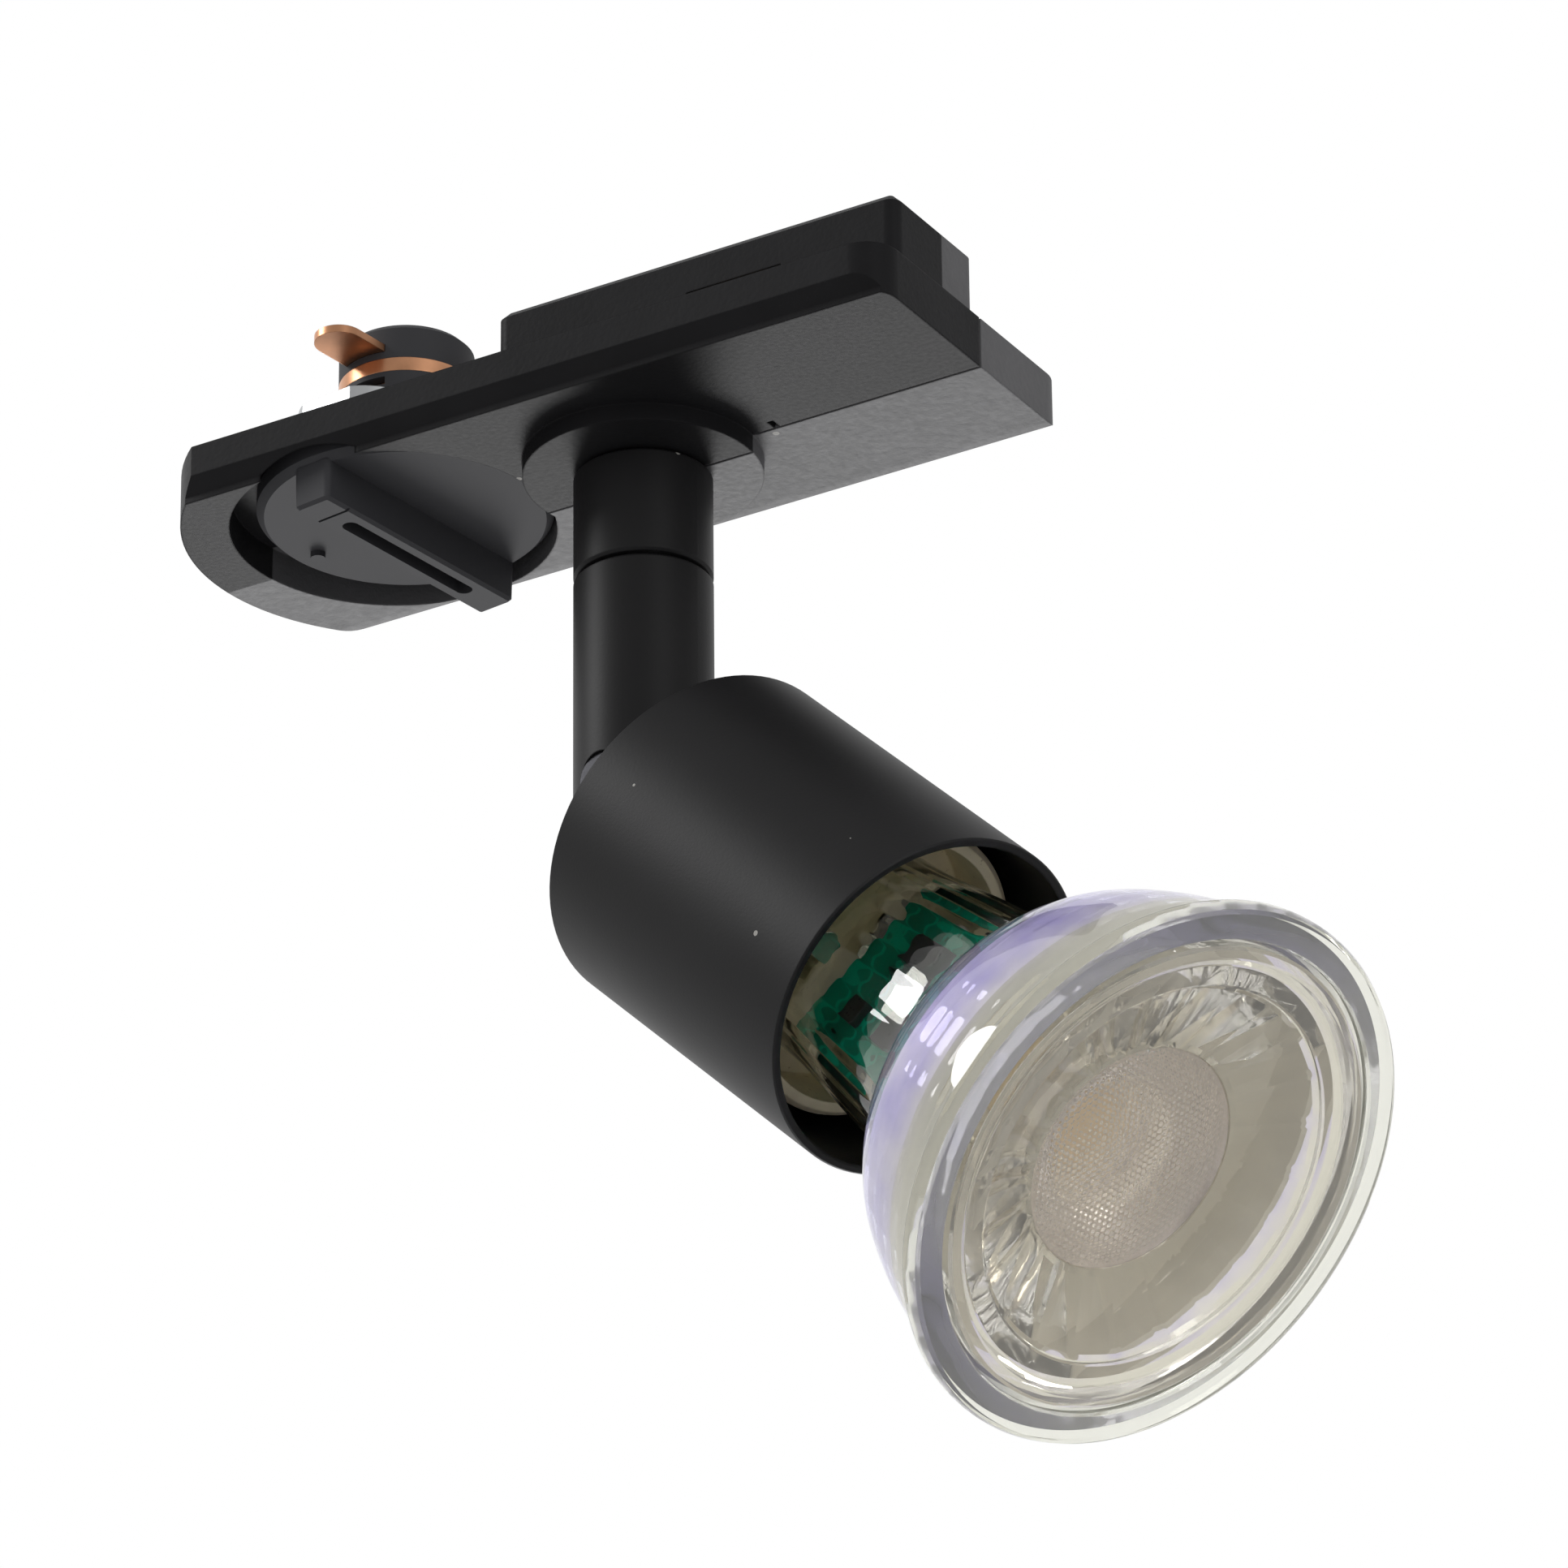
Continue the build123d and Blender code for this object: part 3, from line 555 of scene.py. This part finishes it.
class SPOTLIGHT_OT_fittings(bpy.types.Operator):
    """Finish the screws, washers, contacts and leads"""

    bl_idname = "spotlight.fittings"
    bl_label = "Screws, contacts and leads"

    def execute(self, context):
        zinc = bare_metal("zinc_steel", (0.56, 0.57, 0.58), 0.32)
        finish_nodes(["shell_screws", "terminal_screws", "swivel_washer", "locking_cam", "lever_screw",
                      "threaded_nipple", "nipple_nut", "stop_washer", "knuckle_screws", "holder_bracket",
                      "holder_screws"], zinc)
        black = bare_metal("black_oxide", (0.05, 0.05, 0.055), 0.38)
        finish_nodes(["pivot_screws"], black)
        copper = bare_metal("contact_copper", (0.80, 0.40, 0.22), 0.28, tarnish=0.6)
        finish_nodes(["contact_wipers", "contact_rings", "live_contact", "neutral_contact"], copper)
        bronze = bare_metal("spring_bronze", (0.72, 0.53, 0.27), 0.3, tarnish=0.65)
        finish_nodes(["earth_spring", "holder_contacts"], bronze)
        nickel = bare_metal("nickel_pins", (0.70, 0.69, 0.66), 0.18, tarnish=0.85)
        finish_nodes(["lamp_pins"], nickel)
        aluminium = bare_metal("satin_aluminium", (0.93, 0.90, 0.83), 0.45, (500.0, 500.0, 500.0),
                               tarnish=0.92, metallic=0.25)
        finish_nodes(["heat_plate"], aluminium)
        brown = silicone_sleeve("brown_sleeve", (0.12, 0.045, 0.02))
        finish_nodes(["live_lead", "stem_live_lead", "head_live_lead"], brown)
        blue = silicone_sleeve("blue_sleeve", (0.03, 0.12, 0.42))
        finish_nodes(["neutral_lead", "stem_neutral_lead", "head_neutral_lead"], blue)
        return {"FINISHED"}


class SPOTLIGHT_OT_lampholder(bpy.types.Operator):
    """Finish the ceramic lampholder"""

    bl_idname = "spotlight.lampholder"
    bl_label = "Ceramic lampholder"

    def execute(self, context):
        finish_nodes(["lampholder"], ceramic_body("cream_ceramic", context.scene.spotlight_colours.ceramic))
        return {"FINISHED"}


class SPOTLIGHT_OT_driver(bpy.types.Operator):
    """Finish the driver board, its components and the light source"""

    bl_idname = "spotlight.driver"
    bl_label = "Driver and light source"

    def execute(self, context):
        c = context.scene.spotlight_colours
        finish_nodes(["driver_board"], circuit_board("green_circuit_board", c.board))
        dark = moulded_plastic("component_case", (0.03, 0.03, 0.035), 0.28, 1500.0, 0.2)
        finish_nodes(["driver_capacitor", "driver_transformer", "driver_rectifier", "driver_chips"], dark)
        white = ceramic_body("white_ceramic", (0.92, 0.91, 0.88))
        finish_nodes(["led_base"], white)
        glow = moulded_plastic("phosphor", (1.0, 0.52, 0.20), 0.5, 2600.0, 0.3)
        finish_nodes(["led_emitter"], glow)
        return {"FINISHED"}


class SPOTLIGHT_OT_lamp_glass(bpy.types.Operator):
    """Pressed glass of the lamp: fluted neck, smooth shoulder, faceted bowl and thick lip"""

    bl_idname = "spotlight.lamp_glass"
    bl_label = "Lamp glass"

    def execute(self, context):
        s = context.scene.spotlight_lamp
        z0, z1, rim = GLASS_LOW, GLASS_HIGH, GLASS_R
        neck = [(s.neck_low, z0), (10.4 * MM, z0 + 5.9 * MM), (11.6 * MM, z0 + 14.9 * MM),
                (s.neck_high, z0 + 23.4 * MM)]
        bowl = [(13.55 * MM, z0 + 25.4 * MM), (15.55 * MM, z0 + 27.2 * MM), (18.1 * MM, z0 + 29.4 * MM),
                (20.2 * MM, z0 + 32.4 * MM), (22.0 * MM, z0 + 36.8 * MM), (23.3 * MM, z0 + 41.4 * MM),
                (23.95 * MM, z1 - 2.2 * MM)]
        outside = curve_through(neck + bowl, 5)
        outside += [(rim - 0.4 * MM, z1 - 2.1 * MM), (rim - 0.06 * MM, z1 - 1.8 * MM), (rim, z1 - 1.3 * MM),
                    (rim - 0.05 * MM, z1 - 0.7 * MM), (rim - 0.25 * MM, z1 - 0.28 * MM),
                    (rim - 0.6 * MM, z1 - 0.05 * MM), (rim - 1.0 * MM, z1)]
        mouth = [(22.5 * MM, z1), (22.15 * MM, z1 - 0.12 * MM), (21.95 * MM, z1 - 0.4 * MM),
                 (21.7 * MM, z1 - 2.6 * MM)]
        bowl_in = [(12.5 * MM, z0 + 25.25 * MM), (14.5 * MM, z0 + 27.05 * MM), (16.9 * MM, z0 + 29.25 * MM),
                   (18.7 * MM, z0 + 32.25 * MM), (20.1 * MM, z0 + 36.65 * MM), (20.9 * MM, z0 + 41.25 * MM),
                   (21.0 * MM, z1 - 2.6 * MM)]
        neck_in = [(r - s.wall, z - 0.2 * MM) for r, z in neck[1:]]
        inside = list(reversed(curve_through(neck_in + bowl_in, 6)))
        floor = [(9.0 * MM, z0 + 2.25 * MM), (0, z0 + 2.25 * MM), (0, z0)]
        loop = outside + mouth + inside + floor
        first_inside = len(outside) + len(mouth)
        neck_top = z0 + 24.5 * MM

        def shape(i, r, z, a):
            if i < first_inside and z < neck_top and r > 10.3 * MM:
                fade = min(1.0, (neck_top - z) / (4 * MM)) * min(1.0, (z - z0) / (4 * MM))
                wave = abs(math.sin(a * s.flutes / 2))
                return r - s.flute_depth * fade * (1 - wave) ** 0.8, z
            if i >= first_inside and z > z0 + 33 * MM:
                fade = min(1.0, (z - z0 - 33 * MM) / (2 * MM))
                step = 0.16 * MM * ((z - z0) / (2.3 * MM) % 1.0)
                return r * (1 + fade * (flat_side(a, s.facets) - 1)) + fade * step, z
            return r, z

        glass = turned_piece("pressed_glass", loop, s.flutes * 12, shape, closed=False)
        smooth(glass, 24)
        tint = tuple(context.scene.spotlight_colours.glass)
        collar = tuple(context.scene.spotlight_colours.collar)
        material = clear_glass("pressed_glass", [
            (z0, tint, 1.0), (z0 + 23 * MM, tint, 1.0), (z0 + 26 * MM, collar, 0.9),
            (z0 + 37 * MM, collar, 0.86), (z0 + 41 * MM, tint, 0.85), (z1 - 3 * MM, tint, 0.78),
            (z1 - 1.5 * MM, tint, 0.84), (z1, tint, 0.84)],
            ripple=0.1, patches=(0.60, 0.56, 0.92))
        glass.data.materials.append(material)
        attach(glass, "lamp")
        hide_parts("lamp_glass")
        return {"FINISHED"}


class SPOTLIGHT_OT_front_optic(bpy.types.Operator):
    """Clear front lens ring with its stepped edge and flat-faceted inner cone"""

    bl_idname = "spotlight.front_optic"
    bl_label = "Front lens ring"

    def execute(self, context):
        s = context.scene.spotlight_lamp
        z0, z1, rim = OPTIC_LOW, OPTIC_HIGH, OPTIC_R
        hole = CORE_R + 0.05 * MM
        front = [(hole, z1 - 4.0 * MM), (10.9 * MM, z1 - 3.72 * MM), (12.6 * MM, z1 - 3.0 * MM),
                 (15.0 * MM, z1 - 2.05 * MM), (17.0 * MM, z1 - 1.2 * MM), (17.4 * MM, z1 - 1.0 * MM),
                 (17.5 * MM, z1 - 0.7 * MM), (17.7 * MM, z1 - 0.6 * MM), (19.4 * MM, z1 - 0.6 * MM),
                 (19.6 * MM, z1 - 0.52 * MM), (20.2 * MM, z1 - 0.05 * MM), (20.4 * MM, z1)]
        edge = [(rim - 0.3 * MM, z1 - 0.02 * MM), (rim, z1 - 0.25 * MM), (rim, z1 - 2.45 * MM),
                (19.3 * MM, z1 - 2.45 * MM)]
        back = [(17.3 * MM, z1 - 4.5 * MM), (15.3 * MM, z1 - 6.9 * MM), (12.9 * MM, z1 - 9.8 * MM),
                (hole, z0)]
        loop = front + edge + back
        first_back = len(front) + len(edge)

        corner = flat_side(0, s.ring_facets)
        half_facet = 0.5 * math.pi / s.ring_facets
        ridge_height = 22 * MM

        def shape(i, r, z, a):
            if i >= first_back and r > hole + 0.1 * MM:
                return r * flat_side(a, s.ring_facets) / corner, z
            if 1 <= i <= 4:
                return r, z + ridge_height * (flat_side(a + half_facet, s.ring_facets) - corner)
            return r, z

        optic = turned_piece("front_lens_ring", loop, s.ring_facets * 12, shape)
        smooth(optic, 11)
        tint = context.scene.spotlight_colours.lens
        optic.data.materials.append(clear_glass("lens_plastic", [
            (z0, tint, 0.96), (z1 - 4 * MM, tint, 0.92), (z1, tint, 0.84)]))
        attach(optic, "lamp")
        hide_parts("lamp_optic")
        return {"FINISHED"}


class SPOTLIGHT_OT_centre_lens(bpy.types.Operator):
    """Centre lens whose front is covered with small domed prisms"""

    bl_idname = "spotlight.centre_lens"
    bl_label = "Prismatic centre lens"

    def execute(self, context):
        s = context.scene.spotlight_lamp
        z0, z1 = CORE_LOW, CORE_HIGH
        radius = CORE_R - 0.02 * MM
        steps = int(radius / (s.lens_pitch / 5))
        turns = 432
        crown = 0.32 * MM
        flat_rim = 0.5 * MM
        sine_60 = 0.866
        k = 4 * math.pi / (math.sqrt(3) * s.lens_pitch)
        front = [(0, 0, z1 - 0.02 * MM)]
        rings = []
        for i in range(1, steps + 1):
            r = radius * i / steps
            ring = []
            edge = min(1.0, (radius - r) / flat_rim)
            for t in range(turns):
                a = math.tau * t / turns
                x, y = r * math.cos(a), r * math.sin(a)
                wave = (math.cos(k * x) + math.cos(k * (x / 2 + sine_60 * y))
                        + math.cos(k * (x / 2 - sine_60 * y))) / 3
                z = z1 - crown * (r / radius) ** 2 - s.lens_relief * edge * (1 - wave) / 1.5
                ring.append((x, y, z))
            rings.append(ring)
        for r, z in ((radius, z0), (6.6 * MM, z0), (6.4 * MM, z0 + 2.4 * MM), (6.2 * MM, z0 + 4.6 * MM),
                     (4.6 * MM, z0 + 5.1 * MM), (2.4 * MM, z0 + 5.45 * MM)):
            rings.append([(r * math.cos(math.tau * t / turns), r * math.sin(math.tau * t / turns), z)
                          for t in range(turns)])
        verts, faces = list(front), []
        for ring in rings:
            verts += ring
        centre = len(verts)
        verts.append((0, 0, z0 + 5.6 * MM))
        last = 1 + (len(rings) - 1) * turns
        for t in range(turns):
            n = (t + 1) % turns
            faces.append((0, 1 + t, 1 + n))
            faces.append((last + t, centre, last + n))
            for i in range(len(rings) - 1):
                a, b = 1 + i * turns, 1 + (i + 1) * turns
                faces.append((a + t, b + t, b + n, a + n))
        lens = make_piece("prismatic_lens", verts, faces)
        smooth(lens, 55)
        tint = context.scene.spotlight_colours.lens
        # The front millimetre of the centre lens is tinted pinkish-orange: a painted glow of the emitter
        # behind it, not the lens plastic's own colour.
        lens.data.materials.append(clear_glass("prismatic_plastic", [
            (z0, tint, 0.95), (z0 + 6 * MM, tint, 0.95), (z1 - 1 * MM, (1.0, 0.90, 0.80), 0.76),
            (z1, (1.0, 0.91, 0.82), 0.76)], roughness=0.02))
        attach(lens, "lamp")
        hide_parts("centre_lens")
        return {"FINISHED"}


class SPOTLIGHT_OT_stage(bpy.types.Operator):
    """Pale floor and surround, soft lights and the camera"""

    bl_idname = "spotlight.stage"
    bl_label = "Floor, lights and camera"

    def execute(self, context):
        scene = context.scene
        s = scene.spotlight_stage
        half = 6.0
        mesh = bpy.data.meshes.new("floor")
        corners = [(-half, -half, 0), (half, -half, 0), (half, half, 0), (-half, half, 0)]
        mesh.from_pydata(corners, [], [(0, 1, 2, 3)])
        floor = bpy.data.objects.new("floor", mesh)
        floor.location = (0, 0, -s.floor_drop)
        scene.collection.objects.link(floor)
        m, tree, shader, place = new_material("floor_paint")
        cloud = noise(tree, place, 3.0)
        tree.links.new(ramp(tree, cloud, shade(s.floor, 0.98), s.floor), shader.inputs["Base Color"])
        shader.inputs["Roughness"].default_value = 0.8
        mesh.materials.append(m)

        world = bpy.data.worlds.new("surround")
        world.use_nodes = True
        tree = world.node_tree
        back = tree.nodes["Background"]
        back.inputs["Color"].default_value = (1, 1, 1, 1)
        toward = tree.nodes.new("ShaderNodeTexCoord")
        dot = tree.nodes.new("ShaderNodeVectorMath")
        dot.operation = "DOT_PRODUCT"
        dot.inputs[1].default_value = Vector((-0.62, 0.74, 0.12)).normalized()
        tree.links.new(toward.outputs["Generated"], dot.inputs[0])
        sweep = tree.nodes.new("ShaderNodeMapRange")
        sweep.interpolation_type = "SMOOTHSTEP"
        sweep.inputs["From Min"].default_value = 0.25
        sweep.inputs["From Max"].default_value = 0.9
        sweep.inputs["To Min"].default_value = s.surround
        sweep.inputs["To Max"].default_value = s.backdrop
        tree.links.new(dot.outputs["Value"], sweep.inputs["Value"])
        path = tree.nodes.new("ShaderNodeLightPath")
        strength = sweep.outputs["Result"]
        for ray in ("Is Camera Ray", "Is Transmission Ray"):
            bright = tree.nodes.new("ShaderNodeMath")
            bright.operation = "MAXIMUM"
            tree.links.new(path.outputs[ray], bright.inputs[0])
            tree.links.new(strength, bright.inputs[1])
            strength = bright.outputs["Value"]
        tree.links.new(strength, back.inputs["Strength"])
        scene.world = world

        def area(name, place, size, power, target=(0.02, 0, -0.05)):
            data = bpy.data.lights.new(name, "AREA")
            data.shape = "DISK"
            data.size = size
            data.energy = power
            lamp = bpy.data.objects.new(name, data)
            lamp.location = place
            lamp.rotation_mode = "QUATERNION"
            lamp.rotation_quaternion = (Vector(target) - Vector(place)).to_track_quat("-Z", "Y")
            lamp.visible_camera = False
            scene.collection.objects.link(lamp)

        area("key_light", (-0.9, -0.55, 0.75), 0.5, s.key)
        area("fill_light", (1.1, -0.6, 0.1), 0.6, s.fill)
        area("low_light", (-1.05, 1.65, -0.85), 0.9, s.low)

        data = bpy.data.cameras.new("camera")
        data.sensor_width = 36.0
        data.lens = s.lens
        data.clip_start = 0.01
        data.clip_end = 30.0
        camera = bpy.data.objects.new("camera", data)
        h, p = s.heading, s.pitch
        forward = Vector((-math.sin(h) * math.cos(p), math.cos(h) * math.cos(p), math.sin(p)))
        right = Vector((math.cos(h), math.sin(h), 0))
        up = right.cross(forward)
        aim = (forward + right * s.aim_right + up * s.aim_up).normalized()
        basis = Matrix((right, up, -forward)).transposed()
        turn = forward.rotation_difference(aim).to_matrix()
        stand = Matrix.Translation((s.camera_x, s.camera_y, s.camera_z))
        camera.matrix_world = stand @ (turn @ basis).to_4x4()
        scene.collection.objects.link(camera)
        scene.camera = camera
        scene.view_settings.view_transform = "Standard"
        return {"FINISHED"}


class SPOTLIGHT_PT_panel(bpy.types.Panel):
    """Sidebar panel with the spotlight's steps"""

    bl_label = "Track spotlight"
    bl_space_type = "VIEW_3D"
    bl_region_type = "UI"
    bl_category = "Spotlight"

    def draw(self, context):
        scene = context.scene
        for group in (scene.spotlight_lamp, scene.spotlight_colours, scene.spotlight_stage):
            box = self.layout.box()
            for key in group.__annotations__:
                box.prop(group, key)
        for step in STEPS:
            self.layout.operator(step.bl_idname)


GROUPS = (SpotlightLamp, SpotlightColours, SpotlightStage)
STEPS = (
    SPOTLIGHT_OT_shells,
    SPOTLIGHT_OT_coated_metal,
    SPOTLIGHT_OT_fittings,
    SPOTLIGHT_OT_lampholder,
    SPOTLIGHT_OT_driver,
    SPOTLIGHT_OT_lamp_glass,
    SPOTLIGHT_OT_front_optic,
    SPOTLIGHT_OT_centre_lens,
    SPOTLIGHT_OT_stage,
)


def register():
    for cls in (*GROUPS, *STEPS, SPOTLIGHT_PT_panel):
        bpy.utils.register_class(cls)
    bpy.types.Scene.spotlight_lamp = PointerProperty(type=SpotlightLamp)
    bpy.types.Scene.spotlight_colours = PointerProperty(type=SpotlightColours)
    bpy.types.Scene.spotlight_stage = PointerProperty(type=SpotlightStage)


def unregister():
    del bpy.types.Scene.spotlight_stage
    del bpy.types.Scene.spotlight_colours
    del bpy.types.Scene.spotlight_lamp
    for cls in reversed((*GROUPS, *STEPS, SPOTLIGHT_PT_panel)):
        bpy.utils.unregister_class(cls)


def main():
    register()
    for step in STEPS:
        group, name = step.bl_idname.split(".")
        getattr(getattr(bpy.ops, group), name)()


if __name__ == "__main__":
    main()
